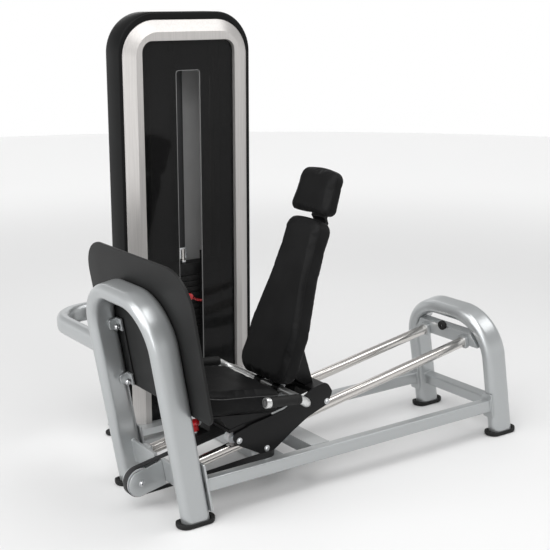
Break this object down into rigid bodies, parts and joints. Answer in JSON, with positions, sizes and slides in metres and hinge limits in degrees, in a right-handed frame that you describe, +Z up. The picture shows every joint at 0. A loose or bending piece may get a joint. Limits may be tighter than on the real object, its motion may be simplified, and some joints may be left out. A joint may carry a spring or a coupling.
{
  "type": "leg press machine",
  "caption": "Seated leg press with a tilted foot plate, a carriage with padded seat and back that rolls on inclined rails, and a covered weight stack lifted by a belt.",
  "frame": {"origin": "on the floor, under the middle of the footprint", "axes": "+X from the foot plate to the rear hoop, +Y from the seat to the weight tower, +Z up"},
  "size_m": [1.763, 1.136, 1.728],
  "materials": {
    "silver_powder_coat": "silver-grey powder coat, satin",
    "chrome": "polished hard chrome",
    "black_powder_coat": "black powder coat, satin",
    "black_vinyl": "matt black upholstery vinyl over foam",
    "black_rubber": "matt black rubber",
    "satin_black_plastic": "satin black plastic",
    "grey_nylon": "grey nylon",
    "satin_aluminium": "brushed and lacquered aluminium",
    "smoked_acrylic": "smoked see-through acrylic, gloss",
    "black_cast_iron": "black enamelled cast iron",
    "red_plastic": "red moulded plastic"
  },
  "bodies": {
    "frame": {"front_hoop": "silver_powder_coat", "rear_hoop": "silver_powder_coat", "near_side_tube": "silver_powder_coat", "far_side_tube": "silver_powder_coat", "front_cross_member": "silver_powder_coat", "rear_cross_member": "silver_powder_coat", "rear_rail_beam": "silver_powder_coat", "centre_beam": "silver_powder_coat", "tower_link": "silver_powder_coat", "brace_tube": "silver_powder_coat", "near_plate_strap": "silver_powder_coat", "far_plate_strap": "silver_powder_coat", "front_pulley_fork": "silver_powder_coat", "tower_base": "silver_powder_coat", "near_rail": "chrome", "far_rail": "chrome", "left_guide_rod": "chrome", "right_guide_rod": "chrome", "tower_frame": "black_powder_coat", "front_near_foot": "black_rubber", "front_far_foot": "black_rubber", "rear_near_foot": "black_rubber", "rear_far_foot": "black_rubber", "tower_left_foot": "black_rubber", "tower_right_foot": "black_rubber", "carriage_bumper": "black_rubber", "stack_cushion": "black_rubber", "drive_belt": "black_rubber", "foot_plate": "satin_black_plastic", "tower_shell": "satin_black_plastic", "tower_bezel": "satin_aluminium", "tower_window": "smoked_acrylic", "resting_weight_plates": "black_cast_iron"},
    "carriage": {"near_side_plate": "black_powder_coat", "far_side_plate": "black_powder_coat", "carriage_chassis": "black_powder_coat", "seat_pan": "black_powder_coat", "seat_pad": "black_vinyl", "back_frame": "black_powder_coat", "back_pad": "black_vinyl", "head_pad": "black_vinyl", "handle_bar": "chrome", "near_grip": "black_rubber", "far_grip": "black_rubber", "adjuster_bar": "satin_aluminium"},
    "weight_stack": {"lifted_weight_plates": "black_cast_iron", "head_plate": "black_cast_iron", "selector_rod": "chrome"},
    "front_pulley": {"front_pulley": "grey_nylon"},
    "redirect_pulley": {"redirect_pulley": "grey_nylon"},
    "low_pulley": {"low_pulley": "grey_nylon"},
    "top_pulley": {"top_pulley": "grey_nylon"},
    "front_near_roller": {"front_near_roller": "grey_nylon"},
    "front_far_roller": {"front_far_roller": "grey_nylon"},
    "rear_near_roller": {"rear_near_roller": "grey_nylon"},
    "rear_far_roller": {"rear_far_roller": "grey_nylon"},
    "lower_near_roller": {"lower_near_roller": "grey_nylon"},
    "lower_far_roller": {"lower_far_roller": "grey_nylon"},
    "selector_pin": {"selector_pin": "red_plastic"},
    "start_pin": {"start_pin": "red_plastic"}
  },
  "joints": [
    {"name": "carriage_slide", "type": "slide", "parent": "frame", "child": "carriage", "axis": [0.9854, 0, 0.1702], "range_m": [0, 0.66], "deforming": ["drive_belt"]},
    {"name": "stack_lift", "type": "slide", "parent": "frame", "child": "weight_stack", "axis": [0, 0, 1], "range_m": [0, 0.66]},
    {"name": "selector_pull", "type": "slide", "parent": "weight_stack", "child": "selector_pin", "axis": [0, -1, 0], "range_m": [0, 0.05]},
    {"name": "start_pin_pull", "type": "slide", "parent": "carriage", "child": "start_pin", "axis": [-0.1702, 0, 0.9854], "range_m": [0, 0.026], "stiffness_N_per_m": 900, "springref_m": -0.01},
    {"name": "front_near_roller_spin", "type": "hinge", "parent": "carriage", "child": "front_near_roller", "pos_m": [-0.47043, -0.317, 0.23854], "axis": [0, 1, 0], "range_deg": [0, 1731.7]},
    {"name": "front_far_roller_spin", "type": "hinge", "parent": "carriage", "child": "front_far_roller", "pos_m": [-0.47043, -0.087, 0.23854], "axis": [0, 1, 0], "range_deg": [0, 1731.7]},
    {"name": "rear_near_roller_spin", "type": "hinge", "parent": "carriage", "child": "rear_near_roller", "pos_m": [-0.07528, -0.317, 0.3068], "axis": [0, 1, 0], "range_deg": [0, 1731.7]},
    {"name": "rear_far_roller_spin", "type": "hinge", "parent": "carriage", "child": "rear_far_roller", "pos_m": [-0.07528, -0.087, 0.3068], "axis": [0, 1, 0], "range_deg": [0, 1731.7]},
    {"name": "lower_near_roller_spin", "type": "hinge", "parent": "carriage", "child": "lower_near_roller", "pos_m": [-0.35004, -0.317, 0.18191], "axis": [0, 1, 0], "range_deg": [-2827, 0]},
    {"name": "lower_far_roller_spin", "type": "hinge", "parent": "carriage", "child": "lower_far_roller", "pos_m": [-0.35004, -0.087, 0.18191], "axis": [0, 1, 0], "range_deg": [-2827, 0]},
    {"name": "front_pulley_spin", "type": "hinge", "parent": "frame", "child": "front_pulley", "pos_m": [-0.79271, -0.202, 0.10504], "axis": [0, 1, 0], "range_deg": [0, 698.9]},
    {"name": "redirect_pulley_spin", "type": "hinge", "parent": "frame", "child": "redirect_pulley", "pos_m": [-0.22267, -0.157, 0.07], "axis": [0, 0, 1], "range_deg": [-845.3, 0]},
    {"name": "low_pulley_spin", "type": "hinge", "parent": "frame", "child": "low_pulley", "pos_m": [-0.17767, 0.5155, 0.105], "axis": [1, 0, 0], "range_deg": [-1085.4, 0]},
    {"name": "top_pulley_spin", "type": "hinge", "parent": "frame", "child": "top_pulley", "pos_m": [-0.17767, 0.52475, 1.575], "axis": [1, 0, 0], "range_deg": [-1473.6, 0]}
  ],
  "couplings": [
    {"joint": "stack_lift", "follows": "carriage_slide", "ratio": 1},
    {"joint": "front_near_roller_spin", "follows": "carriage_slide", "rad_per_m": 45.662},
    {"joint": "front_far_roller_spin", "follows": "carriage_slide", "rad_per_m": 45.662},
    {"joint": "rear_near_roller_spin", "follows": "carriage_slide", "rad_per_m": 45.662},
    {"joint": "rear_far_roller_spin", "follows": "carriage_slide", "rad_per_m": 45.662},
    {"joint": "lower_near_roller_spin", "follows": "carriage_slide", "rad_per_m": -74.627},
    {"joint": "lower_far_roller_spin", "follows": "carriage_slide", "rad_per_m": -74.627},
    {"joint": "front_pulley_spin", "follows": "carriage_slide", "rad_per_m": 18.349},
    {"joint": "redirect_pulley_spin", "follows": "carriage_slide", "rad_per_m": -22.222},
    {"joint": "low_pulley_spin", "follows": "carriage_slide", "rad_per_m": -28.571},
    {"joint": "top_pulley_spin", "follows": "carriage_slide", "rad_per_m": -38.835}
  ]
}
